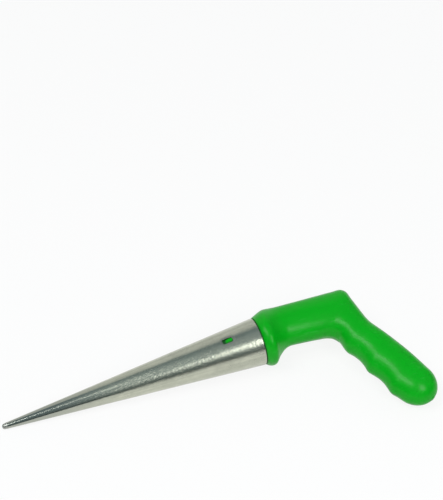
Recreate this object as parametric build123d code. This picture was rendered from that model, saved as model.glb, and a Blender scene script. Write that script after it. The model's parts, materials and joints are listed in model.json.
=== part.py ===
from build123d import *
import math
import os

# Dibber: a cone of rolled sheet steel with a moulded pistol grip that snaps into its open end.
# Each piece is built in the tool's own frame: the origin is the centre of the cone's rim,
# +X runs along the cone's axis into the grip, +Y points to the spine of the grip and +Z to its
# left side. The whole tool is then laid on its right side, as it lies on a bench: it touches
# with the nose, the collar and the grip. All sizes are in millimetres, all angles in degrees.

# Cone of rolled sheet
CONE_LENGTH = 202.8
RIM_RADIUS = 18.4
SHELL_END_RADIUS = 2.4
SHEET_THICKNESS = 1.2
SEAM_GAP = 1.6
WELD_CROWN = 0.25
SLOT_FROM_RIM = 24.8
SLOT_LENGTH = 8.0
SLOT_WIDTH = 4.2
SLOT_CORNER = 1.2

# Solid nose
NOSE_LENGTH = 4.0
NOSE_END_RADIUS = 2.05
NOSE_ROUND = 1.7
SHANK_LENGTH = 14.0
SHANK_CLEARANCE = 0.05

# Collar and neck of the grip
COLLAR_PROUD = 0.1
COLLAR_LIP = 1.4
COLLAR_STEP = 2.4
SIDE_FLARE = 42.0
SPINE_FLARE = 23.0
COLLAR_CREST = 7.8
COLLAR_BLEND = 17.0
COLLAR_EASE = 0.64
COLLAR_SOFTNESS = 0.4
COLLAR_EDGE = 0.3
SEAT_RELIEF = 0.9
SEAT_SHARE = 0.3
SPINE_HEIGHT = 23.4
SPINE_FALL = 3.6
BELLY_DEPTH = 8.1
BELLY_FALL = 6.8
NECK_HALF_WIDTH = 13.3

# Elbow
CROOK_X = 47.3
CROOK_RADIUS = 12.0
CORNER_X = 78.7
CORNER_LEAN = 9.8
CORNER_SOFTNESS = 1.8
HOLLOW_SOFTNESS = 0.9

# Grip
GRIP_TURN = 64.7
GRIP_LENGTH = 84.6
GRIP_DEPTH = 32.8
GRIP_HALF_WIDTH = 13.5
PALM_CROWN_FROM_CROOK = 34.4
PALM_CROWN_RADIUS = 260.0
FINGER_TAPER = 5.4
FINGER_PITCH = 24.0
FIRST_RIDGE = 9.6
GROOVE_DEPTH = 2.2
RIDGE_SOFTNESS = 0.12
END_ROUND = 18.6
END_FLAT_TURN = 84.0

# Roundness of the grip's cross-section: 0.5523 is an ellipse, more is squarer
ELLIPSE = 0.5523
BACK_FULLNESS = 0.58
RIDGE_FULLNESS = 0.54
GROOVE_FULLNESS = 0.55

# Hollow of the grip and what joins its halves
GRIP_WALL = 3.0
RIB_THICKNESS = 2.4
BOSS_RADIUS = 4.0
PEG_RADIUS = 2.0
PEG_LENGTH = 5.0
PEG_CLEARANCE = 0.15
NECK_BOSS_X = 32.2
CORNER_BOSS_REACH = 36.0
GRIP_BOSS_FROM_CROOK = 24.0
GRIP_BOSS_FROM_END = 26.6

# Plug that goes into the cone
PLUG_BEYOND_SLOT = 6.0
PLUG_WALL = 3.0
PLUG_CLEARANCE = 0.3
PLUG_ROOT = 4.0
PLUG_STEP = 1.0

# Snap tongues of the plug
LATCH_ROOT = 8.0
LATCH_WIDTH = 8.0
LATCH_SLIT = 0.8
LATCH_RELIEF = 0.2
ROOT_GAP = 0.5
KNUCKLE_RADIUS = 1.25
KNUCKLE_CLEARANCE = 0.08
LUG_SIDE_GAP = 0.8
LUG_CATCH_GAP = 0.25
LUG_NOSE_GAP = 2.2
LUG_RAMP = 2.6
LUG_RECESS = 0.35

# How finely the grip's outline is followed and its resting place is found
NECK_STATIONS = 3
COLLAR_STATIONS = 9
ELBOW_STATIONS = 12
GRIP_STATIONS = 18
END_STATIONS = 6
SETTLING_ROUNDS = 40

# Values worked out from the sizes above
SHELL_LENGTH = CONE_LENGTH - NOSE_LENGTH
CONE_SLOPE = (RIM_RADIUS - SHELL_END_RADIUS) / SHELL_LENGTH
RADIAL_WALL = SHEET_THICKNESS * math.sqrt(1.0 + CONE_SLOPE**2)
TURN = math.radians(GRIP_TURN)
ALONG_GRIP = Vector(math.cos(TURN), -math.sin(TURN), 0.0)
ACROSS_GRIP = Vector(math.sin(TURN), math.cos(TURN), 0.0)
SPINE_SLOPE = -math.tan(math.radians(SPINE_FALL))
BELLY_SLOPE = -math.tan(math.radians(BELLY_FALL))
LEAN_SLOPE = math.tan(math.radians(CORNER_LEAN))
TAPER_SLOPE = math.tan(math.radians(FINGER_TAPER))
CROOK = Vector(CROOK_X, -BELLY_DEPTH + BELLY_SLOPE * CROOK_X - CROOK_RADIUS, 0.0)
CROOK_ALONG = CROOK.dot(ALONG_GRIP)
CROOK_ACROSS = CROOK.dot(ACROSS_GRIP)
COLLAR_FACE_RADIUS = RIM_RADIUS + COLLAR_PROUD
COLLAR_RADIUS = RIM_RADIUS + COLLAR_STEP
CORNER_Y = SPINE_HEIGHT + SPINE_SLOPE * CORNER_X
FULL_GRIP_LENGTH = GRIP_LENGTH - END_ROUND
PLUG_LENGTH = SLOT_FROM_RIM + SLOT_LENGTH * 0.5 + PLUG_BEYOND_SLOT
FAR = 400.0


def cone_radius(x):
    """Outside radius of the rolled sheet at x, which is negative on the cone."""
    return RIM_RADIUS + CONE_SLOPE * x


def bore_radius(x):
    """Inside radius of the rolled sheet at x."""
    return cone_radius(x) - RADIAL_WALL


def plug_radius(x):
    """Outside radius of the plug at x."""
    return bore_radius(x) - PLUG_CLEARANCE


def latch_radius(x):
    """Outside radius of a snap tongue at x."""
    return plug_radius(x) - LATCH_RELIEF


def plug_bore_radius(x):
    """Inside radius of the plug at x."""
    return plug_radius(x) - PLUG_WALL


def mix(first, second, share):
    """Value that goes from first to second as share goes from 0 to 1."""
    return first + (second - first) * share


def smooth_step(share):
    """Share that starts and ends level."""
    held = min(max(share, 0.0), 1.0)
    return held * held * (3.0 - 2.0 * held)


def soft_min(first, second, softness):
    """Smaller of two sizes, rounded where they are alike."""
    return min(first, second) - softness * math.log1p(math.exp(-abs(first - second) / softness))


def soft_max(first, second, softness):
    """Larger of two sizes, rounded where they are alike."""
    return max(first, second) + softness * math.log1p(math.exp(-abs(first - second) / softness))


def even_shares(count):
    """Shares from 0 to 1, both ends included, in count equal steps."""
    return [step / count for step in range(count + 1)]


def turned(outline):
    """Solid of revolution about the cone's axis from an outline in X and radius."""
    return revolve(make_face(outline), Axis.X, 360)


def frustum(x_small, x_large, radius_at):
    """Solid cone between two places on the axis, with its radius from a function of x."""
    corners = [(x_small, 0), (x_small, radius_at(x_small)), (x_large, radius_at(x_large)), (x_large, 0)]
    return turned(Polyline(*corners, close=True))


def block(low, high):
    """Box between two corners."""
    size = [top - bottom for bottom, top in zip(low, high)]
    return Pos(*low) * Box(*size, align=(Align.MIN, Align.MIN, Align.MIN))


def side_block(side, x_range, half_width):
    """Box on one side of the tool that reaches from its middle plane far out."""
    x_low, x_high = x_range
    low_z, high_z = sorted((0.0, side * FAR))
    return block((x_low, -half_width, low_z), (x_high, half_width, high_z))


def belly_height(x, inset):
    """Height of the neck's lower line at x."""
    return -BELLY_DEPTH + BELLY_SLOPE * x + inset


def finger_line(along):
    """Place across the grip of the line that joins its finger ridges, along from the crook."""
    return CROOK_ACROSS + CROOK_RADIUS - GROOVE_DEPTH - TAPER_SLOPE * along


def groove_share(along):
    """0 on a finger ridge and 1 at the bottom of a finger groove, along from the crook."""
    wave = math.sin(math.pi * (along - FIRST_RIDGE) / FINGER_PITCH)
    return (math.sqrt(wave**2 + RIDGE_SOFTNESS**2) - RIDGE_SOFTNESS) / (1.0 - RIDGE_SOFTNESS)


def palm_line(along, inset):
    """Place across the grip of its palm side, crowned along its length."""
    from_crown = along - PALM_CROWN_FROM_CROOK
    crown = finger_line(PALM_CROWN_FROM_CROOK) + GRIP_DEPTH
    return crown - from_crown**2 / (2.0 * PALM_CROWN_RADIUS) - inset


def corner_line(along, inset):
    """Place across the grip of the face that falls from the outer corner to the palm."""
    across = CORNER_X + LEAN_SLOPE * CORNER_Y - inset * math.hypot(1.0, LEAN_SLOPE)
    across -= (CROOK_ALONG + along) * (ALONG_GRIP.X + LEAN_SLOPE * ALONG_GRIP.Y)
    return across / (ACROSS_GRIP.X + LEAN_SLOPE * ACROSS_GRIP.Y)


class Station:
    """One cross-section of the grip: its back and front points, half width and roundness."""

    def __init__(self, back, front, half_width, back_fullness, front_fullness):
        self.back = back
        self.front = front
        self.half_width = half_width
        self.back_fullness = back_fullness
        self.front_fullness = front_fullness

    def point(self, share_back, share_side):
        """Point of the section: 1 and -1 are the back and front, and the left and right sides."""
        middle = (self.back + self.front) * 0.5
        reach = (self.back - self.front) * 0.5
        return middle + reach * share_back + Vector(0.0, 0.0, self.half_width * share_side)

    def quarter(self, end, side, fullness):
        """Curve from the back or front point to the widest point of one side."""
        corners = [(end, 0), (end, side * fullness), (end * fullness, side), (0, side)]
        return Bezier(*[self.point(*corner) for corner in corners])

    def face(self):
        """Closed section."""
        back_left = self.quarter(1, 1, self.back_fullness)
        front_left = self.quarter(-1, 1, self.front_fullness)
        front_right = self.quarter(-1, -1, self.front_fullness)
        back_right = self.quarter(1, -1, self.back_fullness)
        return Face(Wire([back_left, front_left, front_right, back_right]))


def neck_station(x, inset):
    """Section of the collar and neck at x, shrunk by inset for the hollow."""
    past_lip = max(0.0, x - COLLAR_LIP)
    widening = math.tan(math.radians(SIDE_FLARE)) * past_lip
    rise = math.tan(math.radians(SPINE_FLARE)) * past_lip
    edge = max(0.0, SEAT_RELIEF + COLLAR_EDGE - x)
    if inset:
        collar = plug_bore_radius(0.0) - PLUG_STEP
        spine_side = collar + rise
    else:
        collar = soft_min(COLLAR_FACE_RADIUS + widening, COLLAR_RADIUS, COLLAR_SOFTNESS) - edge
        spine_side = COLLAR_FACE_RADIUS + rise - edge
    spine = SPINE_HEIGHT + SPINE_SLOPE * x - inset
    into_neck = smooth_step(max(0.0, (x - COLLAR_CREST) / COLLAR_BLEND) ** COLLAR_EASE)
    back = soft_min(spine_side, spine, COLLAR_SOFTNESS)
    front = mix(-collar, belly_height(x, inset), into_neck)
    half_width = mix(collar, NECK_HALF_WIDTH - inset, into_neck)
    fullness = mix(ELLIPSE, BACK_FULLNESS, into_neck)
    return Station(Vector(x, back, 0), Vector(x, front, 0), half_width, fullness, ELLIPSE)


def elbow_station(turn, inset):
    """Section of the elbow, on a plane that fans about the crook by turn degrees."""
    angle = math.radians(turn)
    ray = Vector(math.sin(angle), math.cos(angle), 0.0)
    to_spine = SPINE_HEIGHT + SPINE_SLOPE * CROOK.X - CROOK.Y - inset * math.hypot(1.0, SPINE_SLOPE)
    to_spine /= ray.Y - SPINE_SLOPE * ray.X
    to_fall = CORNER_X + LEAN_SLOPE * (CORNER_Y - CROOK.Y) - CROOK.X - inset * math.hypot(1.0, LEAN_SLOPE)
    to_fall /= ray.X + LEAN_SLOPE * ray.Y
    to_palm = (palm_line(0.0, inset) - CROOK_ACROSS) / ray.dot(ACROSS_GRIP)
    behind = soft_max(to_fall, to_palm, HOLLOW_SOFTNESS)
    reach = soft_min(to_spine, behind, CORNER_SOFTNESS)
    share = turn / GRIP_TURN
    half_width = mix(NECK_HALF_WIDTH, GRIP_HALF_WIDTH, share) - inset
    front = CROOK + ray * (CROOK_RADIUS + inset)
    front_fullness = mix(ELLIPSE, GROOVE_FULLNESS, share)
    return Station(CROOK + ray * reach, front, half_width, BACK_FULLNESS, front_fullness)


def grip_station(along, inset):
    """Section of the grip, along from the crook, before its rounded end."""
    back = soft_max(corner_line(along, inset), palm_line(along, inset), HOLLOW_SOFTNESS)
    groove = 1.0 if inset else groove_share(along)
    front = finger_line(along) + GROOVE_DEPTH * groove + inset
    start = ALONG_GRIP * (CROOK_ALONG + along)
    front_fullness = mix(RIDGE_FULLNESS, GROOVE_FULLNESS, groove)
    back_point = start + ACROSS_GRIP * back
    front_point = start + ACROSS_GRIP * front
    return Station(back_point, front_point, GRIP_HALF_WIDTH - inset, BACK_FULLNESS, front_fullness)


def end_station(turn, inset):
    """Section of the rounded end of the grip, turn degrees on from where the rounding starts."""
    full = grip_station(FULL_GRIP_LENGTH, inset)
    angle = math.radians(turn)
    shrink = math.cos(angle)
    middle = (full.back + full.front) * 0.5 + ALONG_GRIP * ((END_ROUND - inset) * math.sin(angle))
    reach = (full.back - full.front) * (0.5 * shrink)
    back_fullness = mix(ELLIPSE, full.back_fullness, shrink)
    front_fullness = mix(ELLIPSE, full.front_fullness, shrink)
    width = full.half_width * shrink
    return Station(middle + reach, middle - reach, width, back_fullness, front_fullness)


def grip_stations(inset):
    """All sections from the collar's face to the end of the grip."""
    collar_end = COLLAR_CREST + COLLAR_BLEND
    edge = [] if inset else [SEAT_RELIEF + COLLAR_EDGE]
    collar = sorted([share * collar_end for share in even_shares(COLLAR_STATIONS)] + edge)
    neck = [mix(collar_end, CROOK_X, share) for share in even_shares(NECK_STATIONS)[1:-1]]
    stations = [neck_station(x, inset) for x in collar + neck]
    stations += [elbow_station(GRIP_TURN * share, inset) for share in even_shares(ELBOW_STATIONS)]
    stations += [grip_station(FULL_GRIP_LENGTH * share, inset) for share in even_shares(GRIP_STATIONS)[1:]]
    stations += [end_station(END_FLAT_TURN * share, inset) for share in even_shares(END_STATIONS)[1:]]
    return stations


def grip_body(inset):
    """Outside of the grip, or its hollow when inset is the wall."""
    return loft([station.face() for station in grip_stations(inset)])


def boss_places():
    """Places in the middle plane where a peg joins the two halves."""
    neck_y = (SPINE_HEIGHT + SPINE_SLOPE * NECK_BOSS_X + belly_height(NECK_BOSS_X, 0.0)) * 0.5
    half_turn = TURN * 0.5
    places = [Vector(NECK_BOSS_X, neck_y, 0.0)]
    places.append(CROOK + Vector(math.sin(half_turn), math.cos(half_turn), 0.0) * CORNER_BOSS_REACH)
    for along in (GRIP_BOSS_FROM_CROOK, GRIP_LENGTH - GRIP_BOSS_FROM_END):
        station = grip_station(along, GRIP_WALL)
        places.append((station.back + station.front) * 0.5)
    return places


def ribs():
    """Cross ribs that stiffen the neck and the grip, each through a boss."""
    places = boss_places()
    neck_rib = Pos(*places[0]) * Box(RIB_THICKNESS, FAR, FAR)
    grip_rib = Rot(0, 0, -GRIP_TURN) * Box(RIB_THICKNESS, FAR, FAR)
    return [neck_rib] + [Pos(*place) * grip_rib for place in places[2:]]


def knuckle_place(side):
    """Middle of a snap tongue's knuckle, in the thickness of the plug's wall."""
    middle = mix(plug_bore_radius(-LATCH_ROOT), plug_radius(-LATCH_ROOT), 0.5)
    sag = middle - math.sqrt(middle**2 - (LATCH_WIDTH * 0.5) ** 2)
    return Vector(-LATCH_ROOT, 0.0, side * (middle - sag * 0.5))


def knuckle(side, radius, length):
    """Round bar across the plug on a snap tongue's axis."""
    return Pos(*knuckle_place(side)) * Rot(90, 0, 0) * Cylinder(radius, length)


def seat_relief():
    """Groove under the collar's edge, so that the collar seats on the inner part of the rim only."""
    seat = mix(bore_radius(0.0), RIM_RADIUS, SEAT_SHARE)
    corners = [(0, seat), (0, FAR), (SEAT_RELIEF, FAR), (SEAT_RELIEF, seat)]
    return turned(Polyline(*corners, close=True))


def handle_body():
    """Hollow grip with its plug, before it is parted into two halves."""
    hollow = grip_body(GRIP_WALL)
    for rib in ribs():
        hollow -= rib
    for place in boss_places():
        hollow -= Pos(*place) * Cylinder(BOSS_RADIUS, FAR)
    body = grip_body(0.0) - seat_relief() + frustum(-PLUG_LENGTH, PLUG_ROOT, plug_radius)
    return body - hollow - frustum(-PLUG_LENGTH, PLUG_ROOT, plug_bore_radius)


def handle_half(side, body):
    """One moulded half of the grip with its half of the plug: side is 1 for left, -1 for right."""
    half = body & side_block(side, (-FAR, FAR), FAR)
    slit_half = LATCH_WIDTH * 0.5 + LATCH_SLIT
    socket_radius = PEG_RADIUS + PEG_CLEARANCE
    half -= side_block(side, (-FAR, -LATCH_ROOT), slit_half)
    half -= knuckle(side, KNUCKLE_RADIUS + KNUCKLE_CLEARANCE, 2.0 * slit_half)
    for place in boss_places():
        if side > 0:
            half += Pos(*place) * Cylinder(PEG_RADIUS, 2.0 * PEG_LENGTH)
        else:
            half -= Pos(*place) * Cylinder(socket_radius, 2.0 * (PEG_LENGTH + PEG_CLEARANCE))
    return half


def lug_ends():
    """Where a lug's catch face, the end of its flat top and the foot of its ramp lie on the axis."""
    catch_x = -SLOT_FROM_RIM + SLOT_LENGTH * 0.5 - LUG_CATCH_GAP
    foot_x = -SLOT_FROM_RIM - SLOT_LENGTH * 0.5 + LUG_NOSE_GAP
    return catch_x, foot_x + LUG_RAMP, foot_x


def lug(side):
    """Lug with a catch face towards the rim, a flat top, a ramp towards the nose and round corners."""
    catch_x, top_x, foot_x = lug_ends()
    root = [(x, latch_radius(x) - PLUG_WALL * 0.5) for x in (foot_x, catch_x)]
    top = [(x, cone_radius(x) - LUG_RECESS) for x in (catch_x, top_x)]
    outline = Polyline(*root, *top, (foot_x, latch_radius(foot_x)), close=True)
    upright = Plane(origin=(0, 0, 0), x_dir=(1, 0, 0), z_dir=(0, -side, 0))
    width = SLOT_WIDTH - 2.0 * LUG_SIDE_GAP
    plan = RectangleRounded(catch_x - foot_x, width, SLOT_CORNER - LUG_CATCH_GAP)
    bar = extrude(Pos((catch_x + foot_x) * 0.5, 0.0, 0.0) * plan, FAR, both=True)
    return extrude(upright * make_face(outline), width * 0.5, both=True) & bar


def latch(side):
    """Snap tongue: a strip of the plug's wall with a knuckle at its root and a lug in the slot."""
    ends = (-PLUG_LENGTH, 0.0)
    wall = frustum(*ends, latch_radius) - frustum(*ends, plug_bore_radius)
    tongue = wall & side_block(side, (-FAR, -LATCH_ROOT - ROOT_GAP), LATCH_WIDTH * 0.5)
    tongue += knuckle(side, KNUCKLE_RADIUS, LATCH_WIDTH)
    return tongue + lug(side)


def cone_shell():
    """Rolled sheet with a latch slot on each side and an open line along the spine side."""
    ends = (-SHELL_LENGTH, 0.0)
    shell = frustum(*ends, cone_radius) - frustum(*ends, bore_radius)
    slot = RectangleRounded(SLOT_LENGTH, SLOT_WIDTH, SLOT_CORNER)
    shell -= extrude(Pos(-SLOT_FROM_RIM, 0.0, 0.0) * slot, FAR, both=True)
    return shell - seam_space()


def seam_space():
    """Space along the spine side between the two edges of the rolled sheet."""
    return block((-FAR, 0.0, -SEAM_GAP * 0.5), (FAR, FAR, SEAM_GAP * 0.5))


def seam_weld():
    """Weld that fills the open line and stands a little proud of the sheet."""
    ends = (-SHELL_LENGTH, 0.0)
    bead = frustum(*ends, lambda x: cone_radius(x) + WELD_CROWN) - frustum(*ends, bore_radius)
    return bead & seam_space()


def cone_point():
    """Solid nose: a shank inside the sheet and a blunt rounded head that carries the cone on."""
    shank_x = -SHELL_LENGTH + SHANK_LENGTH
    round_x = -CONE_LENGTH + NOSE_ROUND
    corners = [(-CONE_LENGTH, 0), (shank_x, 0), (shank_x, bore_radius(shank_x) - SHANK_CLEARANCE)]
    corners.append((-SHELL_LENGTH, bore_radius(-SHELL_LENGTH) - SHANK_CLEARANCE))
    corners += [(-SHELL_LENGTH, SHELL_END_RADIUS), (round_x, NOSE_END_RADIUS)]
    side_control = (mix(round_x, -CONE_LENGTH, ELLIPSE), NOSE_END_RADIUS)
    end_control = (-CONE_LENGTH, NOSE_END_RADIUS * ELLIPSE)
    rounding = Bezier(corners[-1], side_control, end_control, corners[0])
    return turned([Polyline(*corners), rounding])


def lowest_of_nose(up):
    """Height of the nose's lowest point where up is the upward direction."""
    ball = Vector(-CONE_LENGTH + NOSE_END_RADIUS, 0.0, 0.0)
    return ball.dot(up) - NOSE_END_RADIUS


def lowest_of_collar(up):
    """Height of the collar's lowest point."""
    return COLLAR_CREST * up.X - COLLAR_RADIUS * math.hypot(up.Y, up.Z)


def lowest_of_grip(up):
    """Height of the grip's lowest point."""
    heights = []
    for share in even_shares(GRIP_STATIONS):
        station = grip_station(FULL_GRIP_LENGTH * share, 0.0)
        middle = (station.back + station.front) * 0.5
        reach = (station.back - station.front) * 0.5
        heights.append(middle.dot(up) - math.hypot(reach.dot(up), station.half_width * up.Z))
    return min(heights)


def resting_up():
    """Upward direction when nose, collar and grip all touch a level bench."""
    up = Vector(0.0, 0.0, 1.0)
    for _ in range(SETTLING_ROUNDS):
        nose_over = lowest_of_nose(up) - lowest_of_collar(up)
        grip_over = lowest_of_grip(up) - lowest_of_collar(up)
        pitch = up.X + nose_over / (CONE_LENGTH + COLLAR_CREST)
        roll = up.Y + grip_over / GRIP_LENGTH
        up = Vector(pitch, roll, math.sqrt(1.0 - pitch**2 - roll**2))
    return up


def bench_plane():
    """Bench under the resting tool, with its X along the cone."""
    up = resting_up()
    axis = Vector(1.0, 0.0, 0.0)
    return Plane(origin=(0, 0, 0), x_dir=axis - up * axis.dot(up), z_dir=up)


def build_pieces():
    """Every piece of the tool by name, in the tool's own frame."""
    body = handle_body()
    return {
        "cone_shell": cone_shell(),
        "seam_weld": seam_weld(),
        "cone_point": cone_point(),
        "handle_left_half": handle_half(1, body),
        "handle_right_half": handle_half(-1, body),
        "latch_left": latch(1),
        "latch_right": latch(-1),
    }


def resting_place(pieces):
    """Move that lays the tool on the bench with the middle of its footprint at the origin."""
    lay_down = bench_plane().location.inverse()
    laid = [lay_down * solid for piece in pieces.values() for solid in piece.solids()]
    box = Compound(laid).bounding_box()
    middle = box.center()
    return Pos(-middle.X, -middle.Y, -box.min.Z) * lay_down


def main():
    """Build every piece, lay the tool down and write one file per piece."""
    os.makedirs("parts", exist_ok=True)
    pieces = build_pieces()
    place = resting_place(pieces)
    for name, piece in pieces.items():
        export_step(place * piece, f"parts/{name}.step")


if __name__ == "__main__":
    main()
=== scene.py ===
"""Looks of the dibber: finishes, fine surface pieces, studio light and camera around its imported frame."""
import json
import logging
import math
from dataclasses import dataclass
from enum import Enum
from typing import Any, Sequence

import bmesh
import bpy
from mathutils import Matrix, Quaternion, Vector, noise


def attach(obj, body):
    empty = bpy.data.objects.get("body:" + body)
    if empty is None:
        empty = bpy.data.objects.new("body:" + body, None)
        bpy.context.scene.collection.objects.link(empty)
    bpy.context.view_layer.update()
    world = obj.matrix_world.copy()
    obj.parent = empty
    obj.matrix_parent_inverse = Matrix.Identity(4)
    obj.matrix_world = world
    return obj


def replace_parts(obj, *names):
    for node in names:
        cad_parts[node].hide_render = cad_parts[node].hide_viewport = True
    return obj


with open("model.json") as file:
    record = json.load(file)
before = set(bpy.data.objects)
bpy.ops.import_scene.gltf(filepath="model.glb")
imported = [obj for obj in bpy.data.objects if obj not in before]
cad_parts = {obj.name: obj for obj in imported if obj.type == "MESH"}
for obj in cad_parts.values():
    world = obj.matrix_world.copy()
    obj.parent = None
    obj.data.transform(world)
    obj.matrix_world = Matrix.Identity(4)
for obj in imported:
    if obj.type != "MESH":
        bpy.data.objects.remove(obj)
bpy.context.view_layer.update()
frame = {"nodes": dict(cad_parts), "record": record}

LOG = logging.getLogger("dibber")
MM = 0.001
FULL_TURN = 2.0 * math.pi
SLOT_SIDES = (0.25 * FULL_TURN, 0.75 * FULL_TURN)
BODY = "dibber"
WHITE = (1.0, 1.0, 1.0)
RISING = (0.0, 1.0)
FALLING = (1.0, 0.0)
NOISE_MIDDLE = 0.5
NEXT_TO_NOTHING = 1e-9
Colour = tuple[float, float, float]
Triple = tuple[float, float, float]
Span = tuple[float, float]
Socket = bpy.types.NodeSocket
Ring = list[bmesh.types.BMVert]
Grid = dict[tuple[int, int], bmesh.types.BMVert]


class Slot(Enum):
    """Material slots of the record that new pieces belong to."""

    SHEET = "galvanised_sheet"
    WELD = "weld_bead"
    PLASTIC = "green_plastic"


class SlotPlace(Enum):
    """Where a point of the sheet's grid lies as seen from a slot."""

    INSIDE = "inside"
    EDGE = "edge"
    OFF = "off"


class Effect(Enum):
    """Surface effects that more than one material uses."""

    CLOUDS = "Cloudy tone"
    STREAKS = "Streaks along the cone"
    SCRATCHES = "Fine scratches"
    PEBBLE = "Pebbled height"


def mix(first: float, second: float, share: float) -> float:
    """Value that goes from first to second as share goes from 0 to 1."""
    return first + (second - first) * share


def steps(first: float, last: float, count: int) -> list[float]:
    """Evenly spaced values from first up to, and without, last."""
    return [mix(first, last, index / count) for index in range(count)]


def spaced(marks: Sequence[float], pitches: Sequence[float]) -> list[float]:
    """Fill the spans between marks with even steps.

    Args:
        marks: Places that the list must hold, in order.
        pitches: Widest step in each span between two marks.

    Returns:
        All places from the first mark to the last.
    """
    places: list[float] = []
    for first, last, pitch in zip(marks, marks[1:], pitches):
        places += steps(first, last, max(1, math.ceil(abs(last - first) / pitch)))
    return places + [marks[-1]]


def opaque(colour: Colour) -> tuple[float, float, float, float]:
    """Colour with full opacity, as a colour socket takes it."""
    return (*colour, 1.0)


@dataclass(frozen=True)
class ToolFrame:
    """Place of the tool's own frame: X runs along the cone, Y to the spine and Z to the left side.

    Its origin is the centre of the cone's rim.
    """

    matrix: Matrix

    @classmethod
    def read(cls, record: dict[str, Any], cone_length: float) -> "ToolFrame":
        """Work the frame out from the record's mounts.

        Args:
            record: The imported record.
            cone_length: Length from the rim to the end of the nose.

        Returns:
            The tool's frame in the row frame.
        """
        mounts = {mount["name"]: mount for mount in record["mounts"]}
        along = -Vector(mounts["ground_point"]["axis"]).normalized()
        left = Vector(mounts["hanging_crook"]["axis"]).normalized()
        spine = left.cross(along).normalized()
        rim = Vector(mounts["ground_point"]["pos_m"]) + along * cone_length
        turn = Matrix((along, spine, left)).transposed().to_4x4()
        return cls(Matrix.Translation(rim) @ turn)

    def to_row(self, point: Vector) -> Vector:
        """Point of the tool's frame in the row frame."""
        return self.matrix @ point

    def to_tool(self, point: Vector) -> Vector:
        """Point of the row frame in the tool's frame."""
        return self.matrix.inverted() @ point


class NodeBench:
    """Adds nodes to one node tree and links them."""

    def __init__(self, tree: bpy.types.NodeTree) -> None:
        """Keep the tree that the nodes go into."""
        self.tree = tree

    def add(self, kind: str, **settings: Any) -> bpy.types.Node:
        """Add a node.

        Args:
            kind: Blender's name of the node type.
            **settings: Properties of the node.

        Returns:
            The new node.
        """
        node = self.tree.nodes.new(kind)
        for name, value in settings.items():
            setattr(node, name, value)
        return node

    def feed(self, node: bpy.types.Node, **inputs: Any) -> bpy.types.Node:
        """Link or set inputs of a node; an underscore in a name stands for a space.

        Args:
            node: The node to feed.
            **inputs: A socket to link from or a constant, by input name.

        Returns:
            The same node.
        """
        for name, value in inputs.items():
            self.put(node.inputs[name.replace("_", " ")], value)
        return node

    def put(self, socket: Socket, value: Any) -> None:
        """Link a socket from another, or set it.

        Args:
            socket: The input to feed.
            value: A socket to link from, or a constant.
        """
        if isinstance(value, bpy.types.NodeSocket):
            self.tree.links.new(value, socket)
        else:
            socket.default_value = value

    def put_all(self, node: bpy.types.Node, values: Sequence[Any]) -> bpy.types.Node:
        """Feed a node's inputs in their own order.

        Args:
            node: The node to feed.
            values: Sockets to link from, or constants.

        Returns:
            The same node.
        """
        for socket, value in zip(node.inputs, values):
            self.put(socket, value)
        return node

    def maths(self, operation: str, *values: Any) -> Socket:
        """Result of a maths node on one to three values."""
        return self.put_all(self.add("ShaderNodeMath", operation=operation), values).outputs["Value"]

    def vector_maths(self, operation: str, *values: Any) -> bpy.types.Node:
        """Vector maths node on one or two vectors."""
        return self.put_all(self.add("ShaderNodeVectorMath", operation=operation), values)

    def parts(self, vector: Socket) -> Any:
        """X, Y and Z of a vector."""
        return self.feed(self.add("ShaderNodeSeparateXYZ"), Vector=vector).outputs

    def join(self, **parts: Any) -> Socket:
        """Vector made of the parts that are given, the others being nought."""
        return self.feed(self.add("ShaderNodeCombineXYZ"), **parts).outputs["Vector"]

    def spread(self, value: Socket, source: Span, target: tuple[Any, Any]) -> Socket:
        """Move a value from one range to another and hold it at the range's ends.

        Args:
            value: The value to move.
            source: Range that the value comes in.
            target: Range that it goes to.

        Returns:
            The moved value.
        """
        node = self.add("ShaderNodeMapRange", clamp=True)
        self.feed(node, Value=value, From_Min=source[0], From_Max=source[1])
        self.feed(node, To_Min=target[0], To_Max=target[1])
        return node.outputs["Result"]

    def blend(self, share: Any, first: Any, second: Any) -> Socket:
        """Colour between two colours.

        Args:
            share: 0 for the first colour and 1 for the second.
            first: The first colour.
            second: The second colour.

        Returns:
            The blended colour.
        """
        node = self.add("ShaderNodeMix", data_type="RGBA")
        colours = {socket.identifier: socket for socket in node.inputs}
        self.put(node.inputs["Factor"], share)
        self.put(colours["A_Color"], first)
        self.put(colours["B_Color"], second)
        return next(socket for socket in node.outputs if socket.type == "RGBA")

    def noise(
        self, vector: Socket, scale: Any, detail: float, rough: float = 0.5, warp: float = 0.0
    ) -> Socket:
        """Fractal noise from 0 to 1.

        Args:
            vector: Place on the surface.
            scale: How many swings to the metre.
            detail: Octaves of finer noise.
            rough: How strong the finer noise is.
            warp: How far the noise is bent out of place.

        Returns:
            The noise.
        """
        node = self.add("ShaderNodeTexNoise")
        self.feed(node, Vector=vector, Scale=scale, Detail=detail, Roughness=rough, Distortion=warp)
        return node.outputs["Fac"]

    def centred(self, tone: Socket) -> Socket:
        """Noise moved so that its middle is nought."""
        return self.maths("SUBTRACT", tone, NOISE_MIDDLE)

    def sharpened(self, tone: Socket, contrast: Any) -> Socket:
        """Noise with its contrast changed about its middle and held from 0 to 1."""
        offset = self.maths("MULTIPLY", self.centred(tone), contrast)
        return self.spread(offset, (-NOISE_MIDDLE, NOISE_MIDDLE), RISING)

    def effect(self, effect: Effect, **inputs: Any) -> Socket:
        """Place a shared effect's group, feed it and give its result."""
        node = self.add("ShaderNodeGroup", node_tree=EffectShelf.tree(effect))
        return self.feed(node, **inputs).outputs[0]


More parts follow.
